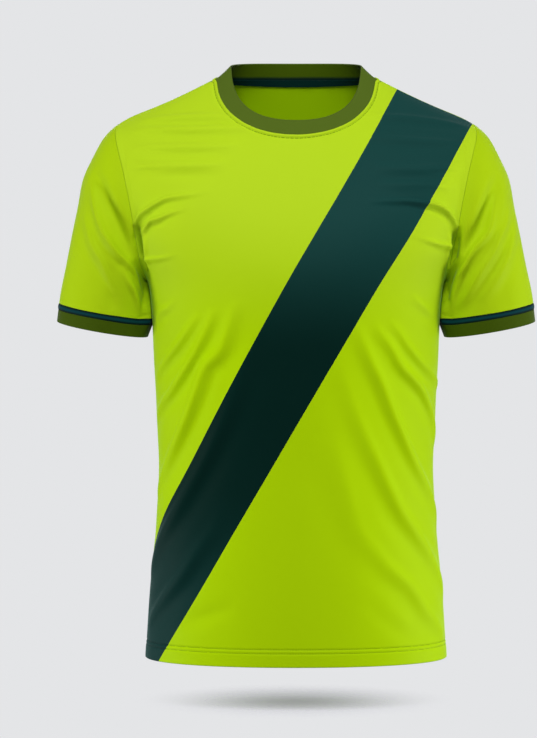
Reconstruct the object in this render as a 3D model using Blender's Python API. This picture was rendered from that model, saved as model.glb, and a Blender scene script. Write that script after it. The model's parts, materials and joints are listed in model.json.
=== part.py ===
"""A crew-neck, short-sleeved sports jersey, filled out as if worn: a Blender script in metres, +Z up.

The front faces -Y and the wearer's left is +X. The origin lies midway between the two high shoulder
points, where the shoulder seams meet the collar, because that is where a wearer carries the jersey.

The jersey is one shell of cloth, cut into panels. Rows of points run across the front and the back,
level round the body and tipping up over the shoulders until the last row is the neckline. Each sleeve
is a loft from its armhole to its cuff, and each panel is thick towards the wearer.
"""

import math
from collections import namedtuple

import bmesh
import bpy
import numpy as np
from mathutils import Vector
from mathutils.kdtree import KDTree

MM = 0.001

# How thick each kind of cloth is, and the gap that is left along a seam.
CLOTH = 1.5 * MM
RIB = 2.4 * MM
TAPE = 1.0 * MM
SEAM_GAP = 0.36 * MM
SHARPEST_MITRE = 1.4

# A half row runs from the panel's centre line to its edge, heading for a corner straight in front of
# the edge or inside it. tip is 0 where the row is level at its edge, and 1 where it lies in one plane.
Row = namedtuple("Row", "centre_y centre_z edge_x edge_y edge_z corner_x tip")
EDGE_COLUMNS = slice(2, 7)
HEM, ARMPIT, SHOULDER_POINT, NECKLINE = 0, 9, 15, 19
FRONT_ROWS = (
    Row(-124, -698, 182, 0, -698, 182, 0),  # hem
    Row(-122, -649, 178.5, 0, -649, 178.5, 0),
    Row(-120, -600, 175.5, 0, -600, 175.5, 0),
    Row(-118, -556, 169.5, 0, -556, 169.5, 0),
    Row(-116, -507, 167.5, 0, -507, 167.5, 0),
    Row(-115, -460, 163.5, 0, -460, 163.5, 0),  # waist
    Row(-117, -420, 169.5, 0, -417, 169.5, 0),
    Row(-120, -374, 171.5, 0, -369, 171.5, 0),
    Row(-124, -322, 172, 0, -308, 172, 0),
    Row(-127, -262, 176, 0, -243, 176, 0),  # armpit
    Row(-127, -248, 183, -30, -236, 179, 0),
    Row(-126, -232, 189, -58, -206, 172, 0),
    Row(-123, -212, 195, -70, -163, 166, 0.1),
    Row(-119, -190, 204, -64, -116, 165, 0.2),
    Row(-114, -169, 214, -40, -78, 175, 0.3),
    Row(-109, -149, 217, -4, -58, 188, 0.4),  # shoulder point
    Row(-103, -130, 190, -5, -44, 178, 0.5),
    Row(-97, -111, 158, -5, -30, 155, 0.7),
    Row(-90, -93, 126, -6, -15, 126, 0.9),
    Row(-82, -76, 95, -6, 0, 95, 1),  # neckline
)
BACK_ROWS = (
    Row(108, -698, 182, 0, -698, 182, 0),  # hem
    Row(106, -649, 178.5, 0, -649, 178.5, 0),
    Row(102, -600, 175.5, 0, -600, 175.5, 0),
    Row(98, -556, 169.5, 0, -556, 169.5, 0),
    Row(94, -507, 167.5, 0, -507, 167.5, 0),
    Row(92, -457, 163.5, 0, -460, 163.5, 0),  # waist
    Row(93, -411, 169.5, 0, -417, 169.5, 0),
    Row(97, -358, 171.5, 0, -369, 171.5, 0),
    Row(104, -294, 172, 0, -308, 172, 0),
    Row(110, -232, 176, 0, -243, 176, 0),  # armpit
    Row(112, -214, 183, 29, -235, 179, 0),
    Row(113, -194, 190, 56, -203, 172, 0),
    Row(112, -168, 198, 68, -159, 166, 0.1),
    Row(110, -141, 206, 61, -112, 165, 0.2),
    Row(106, -115, 215, 37, -77, 175, 0.3),
    Row(100, -90, 217, -4, -58, 188, 0.4),  # shoulder point
    Row(92, -65, 190, -5, -44, 178, 0.5),
    Row(83, -41, 158, -5, -30, 155, 0.7),
    Row(73, -18, 126, -6, -15, 126, 0.9),
    Row(62, 4, 95, -6, 0, 95, 1),  # neckline
)
FULLNESS = 0.6
EASING_ROUNDS = 6

# How many strips of faces there are up each panel, and across it.
STRIPS_BELOW_ARMPIT, STRIPS_OF_ARMHOLE, STRIPS_OF_SHOULDER = 18, 12, 4
FRONT_COLUMNS, BACK_COLUMNS = 24, 20

# The largest folds: where each begins and ends, by the degrees round the body from the centre front and
# the height, how wide it is on each side of its line, and how far it stands out (or sinks in).
Fold = namedtuple("Fold", "from_angle from_z to_angle to_z width height")
BODY_RADIUS, HEM_DEPTH = 160 * MM, 30 * MM
FOLD_TIP = 0.12
FOLDS = (
    Fold(-47, -326, -76, -356, 11, -5),
    Fold(-37, -318, -82, -404, 14, -6),
    Fold(-34, -352, -66, -478, 15, -6),
    Fold(-44, -385, -62, -452, 11, 4),
    Fold(-31, -442, -56, -522, 14, -6),
    Fold(-44, -490, -68, -548, 13, 4),
    Fold(-43, -548, -58, -604, 13, 5),
    Fold(-54, -604, -72, -640, 12, -4),
    Fold(39, -340, 78, -404, 13, -5),
    Fold(28, -350, 74, -482, 15, -6),
    Fold(26, -398, 62, -530, 13, 5),
    Fold(16, -366, 50, -516, 15, -5),
    Fold(44, -514, 74, -590, 14, -6),
    Fold(36, -588, 68, -648, 14, -5),
    Fold(50, -152, 84, -184, 12, -5),
    Fold(-50, -152, -84, -184, 12, -5),
    Fold(122, -330, 84, -404, 14, -5),
    Fold(142, -352, 108, -470, 15, -6),
    Fold(150, -450, 118, -560, 15, -5),
    Fold(-126, -326, -86, -398, 14, -5),
    Fold(-146, -360, -112, -478, 15, -6),
    Fold(-152, -470, -124, -580, 15, -5),
    Fold(180, -420, 172, -560, 20, -4),
)

# Sleeve: where its cloth ends and the cuff's stripe begins, and how the sleeve leaves the armhole.
SLEEVE_END = Vector((230, 2, -281.5)) * MM
SLEEVE_HALF_WIDTH, SLEEVE_HALF_DEPTH = 56 * MM, 49 * MM
SLEEVE_OUTWARD, SLEEVE_BACKWARD = math.radians(10), math.radians(6)
SLEEVE_DIP_AT_SHOULDER, SLEEVE_DIP_AT_ARMPIT = math.radians(37), math.radians(56)
SLEEVE_SWELL = 0.3
SLEEVE_START_PULL, SLEEVE_END_PULL = 0.7, 1.0
SLEEVE_STRIPS = 8
STRIPE_WIDTH, CUFF_WIDTH = 7 * MM, 15.5 * MM

# Sleeve folds: shares of the way round from the underarm (by the back) and down from the armhole.
SleeveFold = namedtuple("SleeveFold", "from_round from_down to_round to_down width height")
SLEEVE_GIRTH, SLEEVE_LENGTH = 360 * MM, 190 * MM
SLEEVE_FLAT_ENDS = 0.12
SLEEVE_FOLDS = (
    SleeveFold(0.66, 0.17, 0.80, 0.24, 15, -3),
    SleeveFold(0.75, 0.28, 0.85, 0.56, 14, -3),
    SleeveFold(0.71, 0.40, 0.85, 0.82, 13, 4),
    SleeveFold(0.63, 0.46, 0.73, 0.90, 13, -3),
    SleeveFold(0.34, 0.20, 0.20, 0.26, 15, -3),
    SleeveFold(0.29, 0.40, 0.15, 0.80, 14, 4),
)

# The collar rib, how far it leans in towards the neck, and the tape behind the back neckline.
COLLAR_WIDTH, COLLAR_STRIPS = 20.5 * MM, 3
LEAN_AT_FRONT, LEAN_AT_SIDE, LEAN_AT_BACK = map(math.radians, (28, 58, 6))
NECK_MIDDLE_Y = -8 * MM
TAPE_FROM_SEAM, TAPE_WIDTH, TAPE_CLEARANCE = 1.0 * MM, 8.5 * MM, 0.5 * MM

LIME = (0.42, 0.68, 0.013, 1)
OLIVE = (0.09, 0.13, 0.02, 1)
TEAL = (0.005, 0.045, 0.05, 1)

Sheet = namedtuple("Sheet", "name points thickness look")


# ---- numbers ----------------------------------------------------------------------------------------


def unit(vectors):
    return vectors / np.linalg.norm(vectors, axis=-1, keepdims=True)


def smooth(share):
    share = np.clip(share, 0, 1)
    return share * share * (3 - 2 * share)


def through(rows, at):
    """Rows of values at float row numbers, on a smooth curve through a table's rows."""
    rows = np.asarray(rows, float)
    before = np.clip(np.floor(at).astype(int), 0, len(rows) - 2)
    t = (at - before)[:, None]
    padded = np.vstack([2 * rows[0] - rows[1], rows, 2 * rows[-1] - rows[-2]])
    p0, p1, p2, p3 = (padded[before + k] for k in range(4))
    bend = 2 * p0 - 5 * p1 + 4 * p2 - p3
    return p1 + 0.5 * t * (p2 - p0 + t * (bend + t * (3 * (p1 - p2) + p3 - p0)))


def distance_to_line(across, along, start, end):
    """How far points of a flat layout are from a stretch, and their share of the way along it."""
    run = np.subtract(end, start)
    share = ((across - start[0]) * run[0] + (along - start[1]) * run[1]) / (run @ run)
    held = np.clip(share, 0, 1)
    aside = np.hypot(across - start[0] - held * run[0], along - start[1] - held * run[1])
    return aside, held


def fold_height(across, along, start, end, width, height):
    """A soft fold: highest at the middle of its length, dying away at both ends and to both sides."""
    aside, share = distance_to_line(across, along, start, end)
    taper = np.sin(np.pi * (FOLD_TIP + (1 - 2 * FOLD_TIP) * share))
    return height * MM * taper * np.exp(-((aside / (width * MM)) ** 2))


# ---- the front and the back -------------------------------------------------------------------------


def row_numbers():
    """The table rows, whole or in between, at which the panels have their rows of points."""
    below = np.linspace(HEM, ARMPIT, STRIPS_BELOW_ARMPIT + 1)
    beside = np.linspace(ARMPIT, SHOULDER_POINT, STRIPS_OF_ARMHOLE + 1)
    above = np.linspace(SHOULDER_POINT, NECKLINE, STRIPS_OF_SHOULDER + 1)
    return np.concatenate([below, beside[1:], above[1:]])


def every_row(table):
    """The table's rows and those in between. Edges turn a corner at the underarm and the shoulder."""
    at = row_numbers()
    rows = through(table, at)
    for first, last in ((HEM, ARMPIT), (ARMPIT, SHOULDER_POINT), (SHOULDER_POINT, NECKLINE)):
        inside = (at >= first) & (at <= last)
        stretch = through(table[first : last + 1], at[inside] - first)
        rows[inside, EDGE_COLUMNS] = stretch[:, EDGE_COLUMNS]
    return rows


def half_rows(table, share):
    """Points of every row of a table, at shares of the way from the centre line to the edge."""
    row = Row(*every_row(table).T[:, :, None])
    toward = FULLNESS * (row.corner_x - row.edge_x)
    x = (0 * row.edge_x, FULLNESS * row.corner_x, row.edge_x + toward, row.edge_x)
    before_edge = row.edge_y + FULLNESS * (row.centre_y - row.edge_y)
    y = (row.centre_y, row.centre_y, before_edge, row.edge_y)
    below_edge = row.edge_z + FULLNESS * row.tip * (row.centre_z - row.edge_z)
    z = (row.centre_z, row.centre_z, below_edge, row.edge_z)
    rest = 1 - share
    weights = (rest**3, 3 * rest**2 * share, 3 * rest * share**2, share**3)
    return np.stack([sum(w * p for w, p in zip(weights, axis)) for axis in (x, y, z)], -1) * MM


def panel(table, middle_angle, columns):
    """A panel's rows of points, counterclockwise round the body as seen from above."""
    across = np.linspace(-1, 1, columns + 1)
    points = half_rows(table, abs(across))
    side = np.sign(across) * (1 if middle_angle == 0 else -1)
    points[..., 0] *= side
    points = eased(points)
    angle = middle_angle + 90 * across + 0 * points[..., 2]
    return points + body_folds(angle, points[..., 2])[..., None] * outward(angle)


def eased(points):
    """The points inside a panel, evened out up and down, so that no row shows as a crease."""
    for _ in range(EASING_ROUNDS):
        beside = (points[:-2, 1:-1] + points[2:, 1:-1]) / 2
        points[1:-1, 1:-1] = (points[1:-1, 1:-1] + beside) / 2
    return points


def outward(angle):
    around = np.radians(angle)
    return np.stack([np.sin(around), -np.cos(around), 0 * around], axis=-1)


def body_folds(angle, height):
    """How far the folds lift the cloth at each point. The turned-up hem stays flat."""
    lift = 0
    for fold in FOLDS:
        turned = (angle - fold.from_angle + 180) % 360 - 180
        across = np.radians(turned) * BODY_RADIUS
        start = (0, fold.from_z * MM)
        end = (math.radians(fold.to_angle - fold.from_angle) * BODY_RADIUS, fold.to_z * MM)
        lift = lift + fold_height(across, height, start, end, fold.width, fold.height)
    hem_height = FRONT_ROWS[HEM].edge_z * MM
    return lift * smooth((height - hem_height) / HEM_DEPTH)


# ---- the sleeves ------------------------------------------------------------------------------------


def armhole(front, back):
    """The left armhole: from the underarm up the back, over the shoulder and down the front again."""
    first = STRIPS_BELOW_ARMPIT
    last = first + STRIPS_OF_ARMHOLE
    return np.vstack([back[first : last + 1, 0], front[first:last, -1][::-1]])


def round_share(loop):
    """Each point's share of the way round an armhole, with the shoulder point at one half."""
    steps = np.linalg.norm(np.diff(loop, axis=0), axis=1)
    walked = np.concatenate([[0], np.cumsum(steps)])
    top = STRIPS_OF_ARMHOLE
    up, down = walked[top], walked[-1] - walked[top]
    return np.where(walked <= up, 0.5 * walked / up, 0.5 + 0.5 * (walked - up) / down)


def sleeve_axis():
    return unit(np.array([math.sin(SLEEVE_OUTWARD), math.sin(SLEEVE_BACKWARD), -1]))


def cuff_loop(share, beyond=0.0):
    """The sleeve's end, or the same loop further down its axis."""
    axis = sleeve_axis()
    depthwise = unit(np.array([0, 1, 0]) - axis[1] * axis)
    widthwise = np.cross(axis, depthwise)
    turn = 2 * np.pi * share[:, None]
    loop = np.array(SLEEVE_END) + axis * beyond
    loop = loop - widthwise * SLEEVE_HALF_WIDTH * np.cos(turn)
    return loop + depthwise * SLEEVE_HALF_DEPTH * np.sin(turn)


def sleeve(loop, share):
    """The sleeve's rows of points, from the armhole down to its end."""
    end = cuff_loop(share)
    lowest, highest = loop[:, 2].min(), loop[:, 2].max()
    raised = (loop[:, 2] - lowest) / (highest - lowest)
    dip = SLEEVE_DIP_AT_ARMPIT + (SLEEVE_DIP_AT_SHOULDER - SLEEVE_DIP_AT_ARMPIT) * raised**2
    swell = SLEEVE_SWELL * loop[:, 1] / abs(loop[:, 1]).max()
    leaving = unit(np.column_stack([np.cos(dip), swell, -np.sin(dip)]))
    chord = np.linalg.norm(end - loop, axis=1, keepdims=True)
    t = np.linspace(0, 1, SLEEVE_STRIPS + 1)[:, None, None]
    rows = (1 + 2 * t) * (1 - t) ** 2 * loop + t**2 * (3 - 2 * t) * end
    rows = rows + t * (1 - t) ** 2 * SLEEVE_START_PULL * chord * leaving
    rows = rows - t**2 * (1 - t) * SLEEVE_END_PULL * chord * sleeve_axis()
    return rows + sleeve_folds(share, t[..., 0])[..., None] * sleeve_outward(share)


def sleeve_outward(share):
    turn = 2 * np.pi * share
    return np.column_stack([-np.cos(turn), np.sin(turn), 0 * turn])


def sleeve_folds(share, down):
    """How far the folds lift the sleeve, at shares of the way round it and down it."""
    around, along = share * SLEEVE_GIRTH, down * SLEEVE_LENGTH
    lift = 0
    for fold in SLEEVE_FOLDS:
        start = (fold.from_round * SLEEVE_GIRTH, fold.from_down * SLEEVE_LENGTH)
        end = (fold.to_round * SLEEVE_GIRTH, fold.to_down * SLEEVE_LENGTH)
        lift = lift + fold_height(around, along, start, end, fold.width, fold.height)
    return lift * smooth(down / SLEEVE_FLAT_ENDS) * smooth((1 - down) / SLEEVE_FLAT_ENDS)


def band(loop, direction, start, end, strips):
    """Rows of points from a loop, along a direction, between two distances."""
    distance = np.linspace(start, end, strips + 1)[:, None, None]
    return loop + distance * direction


# ---- the collar -------------------------------------------------------------------------------------


def collar(neckline):
    inward = np.column_stack([-neckline[:, 0], NECK_MIDDLE_Y - neckline[:, 1]])
    inward = unit(inward)
    front, back = np.clip(inward[:, 1], 0, 1), np.clip(-inward[:, 1], 0, 1)
    lean = LEAN_AT_SIDE + front**2 * (LEAN_AT_FRONT - LEAN_AT_SIDE)
    lean = lean + back**0.75 * (LEAN_AT_BACK - LEAN_AT_SIDE)
    direction = np.column_stack([inward * np.sin(lean)[:, None], np.cos(lean)])
    return band(neckline, direction, 0, COLLAR_WIDTH, COLLAR_STRIPS)


# ---- cloth with a thickness -------------------------------------------------------------------------


def add_grid(mesh_builder, points):
    """A grid of faces through rows of points, welded where its two ends meet."""
    rows, columns = points.shape[:2]
    made = bmesh.ops.create_grid(mesh_builder, x_segments=columns - 1, y_segments=rows - 1)
    for vertex, point in zip(made["verts"], points.reshape(-1, 3)):
        vertex.co = point
    return made["verts"]


def weld(mesh_builder):
    bmesh.ops.remove_doubles(mesh_builder, verts=mesh_builder.verts, dist=0.01 * MM)


def mitres(sheets):
    """A lookup of the direction that halves the angle between the sheets at each point they share."""
    whole = bmesh.new()
    for sheet in sheets:
        add_grid(whole, sheet.points)
    weld(whole)
    whole.normal_update()
    tree = KDTree(len(whole.verts))
    directions = []
    for number, vertex in enumerate(whole.verts):
        tree.insert(vertex.co, number)
        directions.append(vertex.normal * min(vertex.calc_shell_factor(), SHARPEST_MITRE))
    tree.balance()
    whole.free()
    return lambda point: directions[tree.find(point)[1]]


def clear_of_seams(points, mitre):
    """How far each point moves so that the sheet stops short of its seams."""
    shift = np.zeros(points.shape)
    closed = np.allclose(points[:, 0], points[:, -1])
    edges = [(points, shift)]
    if not closed:
        edges.append((points.swapaxes(0, 1), shift.swapaxes(0, 1)))
    for lines, moved in edges:
        for edge, beside in ((0, 1), (-1, -2)):
            along = unit(np.gradient(lines[edge], axis=0))
            away = lines[beside] - lines[edge]
            away = away - (away * along).sum(-1, keepdims=True) * along
            moved[edge] += unit(away) * SEAM_GAP / 2
    return shift * np.linalg.norm(mitre, axis=-1, keepdims=True)


def make_cloth(sheet, mitre_at):
    """One piece: its outer sheet, extruded towards the wearer along the mitres."""
    flat = sheet.points.reshape(-1, 3)
    mitre = np.array([mitre_at(point) for point in flat]).reshape(sheet.points.shape)
    outer = sheet.points + clear_of_seams(sheet.points, mitre)
    return extruded(sheet.name, outer, outer - mitre * sheet.thickness, sheet.look)


def extruded(name, outer, inner, look):
    mesh_builder = bmesh.new()
    behind = mesh_builder.verts.layers.float_vector.new("behind")
    for vertex, point in zip(add_grid(mesh_builder, outer), inner.reshape(-1, 3)):
        vertex[behind] = point
    weld(mesh_builder)
    made = bmesh.ops.extrude_face_region(mesh_builder, geom=mesh_builder.faces[:], use_keep_orig=True)
    for part in made["geom"]:
        if isinstance(part, bmesh.types.BMVert):
            part.co = part[behind]
    # Pieces that meet are split along the same diagonals, so that their twisted edges stay parallel.
    bmesh.ops.triangulate(mesh_builder, faces=mesh_builder.faces[:], quad_method="SHORT_EDGE")
    bmesh.ops.recalc_face_normals(mesh_builder, faces=mesh_builder.faces)
    mesh = bpy.data.meshes.new(name)
    mesh_builder.verts.layers.float_vector.remove(behind)
    mesh_builder.to_mesh(mesh)
    mesh_builder.free()
    mesh.materials.append(look)
    mesh.shade_smooth()
    mesh.set_sharp_from_angle(angle=math.radians(50))
    piece = bpy.data.objects.new(name, mesh)
    bpy.data.collections["jersey"].objects.link(piece)
    return piece


def material(name, colour, roughness):
    made = bpy.data.materials.new(name)
    made.use_nodes = True
    shader = made.node_tree.nodes["Principled BSDF"]
    shader.inputs["Base Color"].default_value = colour
    shader.inputs["Roughness"].default_value = roughness
    shader.inputs["Metallic"].default_value = 0.0
    return made


# ---- the jersey -------------------------------------------------------------------------------------


def body_sheets(lime, olive):
    front = panel(FRONT_ROWS, 0, FRONT_COLUMNS)
    back = panel(BACK_ROWS, 180, BACK_COLUMNS)
    neckline = np.vstack([front[-1], back[-1, 1:]])
    sheets = [
        Sheet("front_panel", front, CLOTH, lime),
        Sheet("back_panel", back, CLOTH, lime),
        Sheet("collar_rib", collar(neckline), RIB, olive),
    ]
    return front, back, sheets


def sleeve_sheets(front, back, lime, teal, olive):
    """The left sleeve with its stripe and cuff, and the right ones as their mirror images."""
    loop = armhole(front, back)
    share = round_share(loop)
    end, axis = cuff_loop(share), sleeve_axis()
    cuff_end = STRIPE_WIDTH + CUFF_WIDTH
    pieces = (
        ("sleeve", sleeve(loop, share), CLOTH, lime),
        ("cuff_stripe", band(end, axis, 0, STRIPE_WIDTH, 1), CLOTH, teal),
        ("cuff", band(end, axis, STRIPE_WIDTH, cuff_end, 1), CLOTH, olive),
    )
    sheets = []
    for name, points, thickness, look in pieces:
        mirrored = points[:, ::-1] * np.array([-1, 1, 1])
        sheets.append(Sheet("left_" + name, points, thickness, look))
        sheets.append(Sheet("right_" + name, mirrored, thickness, look))
    return sheets


def make_neck_tape(back, mitre_at, teal):
    """A tape on the inside of the back panel, just under the back neckline."""
    top, below = back[-1, 1:-1], back[-2, 1:-1]
    step = np.linalg.norm(below - top, axis=1, keepdims=True)
    inward = -np.array([[mitre_at(point) for point in line] for line in (top, below)])
    edges = []
    for distance in (TAPE_FROM_SEAM + TAPE_WIDTH, TAPE_FROM_SEAM):
        share = distance / step
        on_back = top + share * (below - top)
        across = inward[0] + share * (inward[1] - inward[0])
        edges.append((on_back, across))
    outer = np.array([p + across * (CLOTH + TAPE_CLEARANCE) for p, across in edges])
    inner = np.array([p + across * (CLOTH + TAPE_CLEARANCE + TAPE) for p, across in edges])
    extruded("back_neck_tape", outer, inner, teal)


def main():
    for old in list(bpy.data.objects):
        bpy.data.objects.remove(old)
    jersey = bpy.data.collections.new("jersey")
    bpy.context.scene.collection.children.link(jersey)
    lime = material("lime_knit", LIME, 0.62)
    olive = material("olive_rib", OLIVE, 0.8)
    teal = material("teal_tape", TEAL, 0.7)
    front, back, sheets = body_sheets(lime, olive)
    sheets += sleeve_sheets(front, back, lime, teal, olive)
    mitre_at = mitres(sheets)
    for sheet in sheets:
        make_cloth(sheet, mitre_at)
    make_neck_tape(back, mitre_at, teal)


main()
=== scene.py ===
# %% [markdown]
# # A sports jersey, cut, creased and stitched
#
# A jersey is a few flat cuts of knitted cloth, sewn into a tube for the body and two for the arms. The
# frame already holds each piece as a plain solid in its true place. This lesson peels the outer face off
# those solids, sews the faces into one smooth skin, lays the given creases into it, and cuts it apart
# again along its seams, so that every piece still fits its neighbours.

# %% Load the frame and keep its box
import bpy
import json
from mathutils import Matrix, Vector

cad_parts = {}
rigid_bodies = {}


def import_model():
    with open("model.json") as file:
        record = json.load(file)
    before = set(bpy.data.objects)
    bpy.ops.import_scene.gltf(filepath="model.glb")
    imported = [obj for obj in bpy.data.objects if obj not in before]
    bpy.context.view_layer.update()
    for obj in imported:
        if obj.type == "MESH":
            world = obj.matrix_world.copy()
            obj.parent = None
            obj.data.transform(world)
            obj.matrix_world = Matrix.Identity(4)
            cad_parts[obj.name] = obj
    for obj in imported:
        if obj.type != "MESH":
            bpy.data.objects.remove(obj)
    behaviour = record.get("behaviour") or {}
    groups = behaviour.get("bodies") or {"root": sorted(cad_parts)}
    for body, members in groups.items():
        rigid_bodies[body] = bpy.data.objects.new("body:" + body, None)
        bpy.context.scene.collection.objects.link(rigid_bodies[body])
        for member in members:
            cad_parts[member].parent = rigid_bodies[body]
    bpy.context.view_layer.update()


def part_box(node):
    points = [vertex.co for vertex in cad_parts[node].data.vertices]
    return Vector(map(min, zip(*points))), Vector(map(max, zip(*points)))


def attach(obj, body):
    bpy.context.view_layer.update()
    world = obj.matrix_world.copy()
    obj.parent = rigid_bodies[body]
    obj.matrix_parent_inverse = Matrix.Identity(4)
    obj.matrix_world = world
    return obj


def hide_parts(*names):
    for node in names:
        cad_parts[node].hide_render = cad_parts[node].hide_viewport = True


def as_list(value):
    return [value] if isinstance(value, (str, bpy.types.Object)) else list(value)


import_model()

# %% Modules and units
import json
import math
from collections import namedtuple
from functools import partialmethod

import bmesh
import bpy
import numpy as np
from mathutils import Matrix, Vector
from mathutils.bvhtree import BVHTree
from mathutils.kdtree import KDTree

MM = 0.001

# %% [markdown]
# ## The pieces
#
# Each piece keeps the name of its solid. A maker lays it flat from its own middle, so each has the way
# that its middle faces on the wearer, and the way that counts as across. The front and the back are
# measured towards the wearer's left, and the sleeves towards the front. A piece also says how thick its
# cloth is, how it is held, how wide a border its seams need, its finish, and what it hangs from.

# %% Name the pieces
Piece = namedtuple("Piece", "node facing across thickness held border slot hangs_from")
LEFT, RIGHT, FRONT, BACK = (1, 0), (-1, 0), (0, -1), (0, 1)
KNIT, RIB, TAPE = 1.5 * MM, 2.4 * MM, 1.0 * MM
PANELS = ["front_panel", "back_panel"]
PIECES = (
    Piece("front_panel", FRONT, LEFT, KNIT, "hung", 5 * MM, "lime_knit", ["collar_rib"]),
    Piece("back_panel", BACK, LEFT, KNIT, "hung", 5 * MM, "lime_knit", ["collar_rib"]),
    Piece("left_sleeve", LEFT, FRONT, KNIT, "hung", 3 * MM, "lime_knit", PANELS),
    Piece("right_sleeve", RIGHT, FRONT, KNIT, "hung", 3 * MM, "lime_knit", PANELS),
    Piece("collar_rib", FRONT, LEFT, RIB, "folded", 2.2 * MM, "olive_rib", PANELS),
    Piece("left_cuff_stripe", LEFT, FRONT, KNIT, "stretched", 1.4 * MM, "teal_tape", ["left_sleeve"]),
    Piece("right_cuff_stripe", RIGHT, FRONT, KNIT, "stretched", 1.4 * MM, "teal_tape", ["right_sleeve"]),
    Piece("left_cuff", LEFT, FRONT, KNIT, "stretched", 2.2 * MM, "olive_rib", ["left_cuff_stripe"]),
    Piece("right_cuff", RIGHT, FRONT, KNIT, "stretched", 2.2 * MM, "olive_rib", ["right_cuff_stripe"]),
    Piece("back_neck_tape", BACK, LEFT, TAPE, "laid", 1.2 * MM, "teal_tape", ["back_panel"]),
)
NUMBER = {piece.node: number for number, piece in enumerate(PIECES)}
BODY = {NUMBER[name] for name in PANELS}
print("pieces:", ", ".join(NUMBER))

# %% [markdown]
# ## One skin from ten solids
#
# A solid of cloth has an outer face, an inner face and thin walls along its edges. A wall's triangles
# are as narrow as the cloth is thick, so they are easy to find and delete, and then the two faces come
# apart. The outer one has the larger area, because it lies further out. What is left of all the solids
# meets within a seam's gap, and merging by distance sews it into one skin.

# %% Peel off the outer faces and sew them together
WALL, SEAM_GAP, SAME_PLACE = 2.8 * MM, 0.8 * MM, 0.001 * MM


def narrowness(face):
    return 2 * face.calc_area() / max(edge.calc_length() for edge in face.edges)


def islands(faces):
    """Groups of faces that hang together. A dict keeps its order, so they come the same way each run."""
    left = dict.fromkeys(faces)
    while left:
        group = [left.popitem()[0]]
        for face in group:
            for edge in face.edges:
                near = [other for other in edge.link_faces if other in left]
                for other in near:
                    del left[other]
                group += near
        yield group


def outer_faces():
    skin = bmesh.new()
    for number, piece in enumerate(PIECES):
        already = len(skin.faces)
        skin.from_mesh(bpy.data.objects[piece.node].data)
        skin.faces.ensure_lookup_table()
        for face in skin.faces[already:]:
            face.material_index = number
    bmesh.ops.remove_doubles(skin, verts=skin.verts, dist=SAME_PLACE)
    walls = [face for face in skin.faces if narrowness(face) < WALL]
    bmesh.ops.delete(skin, geom=walls, context="FACES")
    sides = {}
    for group in islands(skin.faces):
        sides.setdefault(group[0].material_index, []).append(group)
    for groups in sides.values():
        groups.sort(key=lambda group: sum(face.calc_area() for face in group))
        inner = [face for group in groups[:-1] for face in group]
        bmesh.ops.delete(skin, geom=inner, context="FACES")
    bmesh.ops.remove_doubles(skin, verts=skin.verts, dist=SEAM_GAP)
    return skin


skin = outer_faces()
print("outer skin:", len(skin.verts), "points,", len(skin.faces), "triangles")

# %% [markdown]
# Smooth cloth needs a net of four-sided cells, because a subdivision surface puts a small star of
# dimples wherever triangles meet. The triangles came from such a net, so joining them in pairs brings it
# back. A high topology influence prefers the pairing in which four edges meet at each point.

# %% Bring back the net of four-sided cells
NET_INFLUENCE = 1.8

bmesh.ops.join_triangles(
    skin,
    faces=skin.faces,
    cmp_materials=True,
    angle_face_threshold=math.pi,
    angle_shape_threshold=math.pi,
    topology_influence=NET_INFLUENCE,
)
print("net:", len(skin.faces), "cells,", sum(len(face.verts) == 3 for face in skin.faces), "triangles")

# %% [markdown]
# The solids hold only the broad folds, on wide cells, which zigzag if they are refined as they are. So
# the skin is ironed first. Plain smoothing would shrink it like a washed shirt, and a second pass with a
# slightly larger negative factor puts the size back, which leaves the broad form and takes the zigzags.
# The points of the collar, the cuffs, the hem and the neck stay where they are.

# %% Iron the skin
IRON_ROUNDS, IRON_OUT, IRON_BACK = 5, 0.5, -0.52
IRONED = BODY | {NUMBER["left_sleeve"], NUMBER["right_sleeve"]}


def pieces_at(place):
    """The numbers of the pieces that meet at a point or an edge of the net."""
    return {face.material_index for face in place.link_faces}


loose = [point for point in skin.verts if pieces_at(point) <= IRONED and not point.is_boundary]
for _ in range(IRON_ROUNDS):
    for factor in (IRON_OUT, IRON_BACK):
        bmesh.ops.smooth_vert(
            skin, verts=loose, factor=factor, use_axis_x=True, use_axis_y=True, use_axis_z=True
        )
print("ironed", len(loose), "points")

# %% [markdown]
# ## Borders, hem and the cut
#
# Every edge of a piece needs narrow cells beside it, so that the cloth can roll into its seam and the
# stitching can press a groove. Insetting each piece as one region gives it such a border, and two level
# cuts through the body give the rows that the hem's twin stitching sits on.

# %% Give each piece a border and the hem its rows
HEM_ROWS = (16.2 * MM, 21.2 * MM)

for number, piece in enumerate(PIECES):
    bmesh.ops.inset_region(
        skin,
        faces=[face for face in skin.faces if face.material_index == number],
        thickness=piece.border,
        use_even_offset=True,
        use_boundary=True,
    )
hem_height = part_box("front_panel")[0][2]
for height in HEM_ROWS:
    bmesh.ops.bisect_plane(
        skin,
        geom=[*skin.verts, *skin.edges, *skin.faces],
        dist=10 * SAME_PLACE,
        plane_co=(0, 0, hem_height + height),
        plane_no=(0, 0, 1),
    )
print("with borders:", len(skin.faces), "cells")

# %% [markdown]
# Cloth is flat before it is sewn, and its knit, its print and its creases all follow the flat cut. So
# the seams are opened, as a maker unpicks a shirt: along every line where two pieces meet, down the
# underarm of each sleeve, and through the collar at the centre back. Unwrapping then lays each piece
# flat with the least stretch, and each is scaled back to its true size and turned upright.

# %% Open the seams
def straight_on(point, edge):
    """The edge that leaves a point of the net opposite to the one that came in."""
    beside = set(edge.link_faces)
    ways = [other for other in point.link_edges if not beside.intersection(other.link_faces)]
    return ways[0] if len(point.link_edges) == 4 and len(ways) == 1 else None


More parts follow.
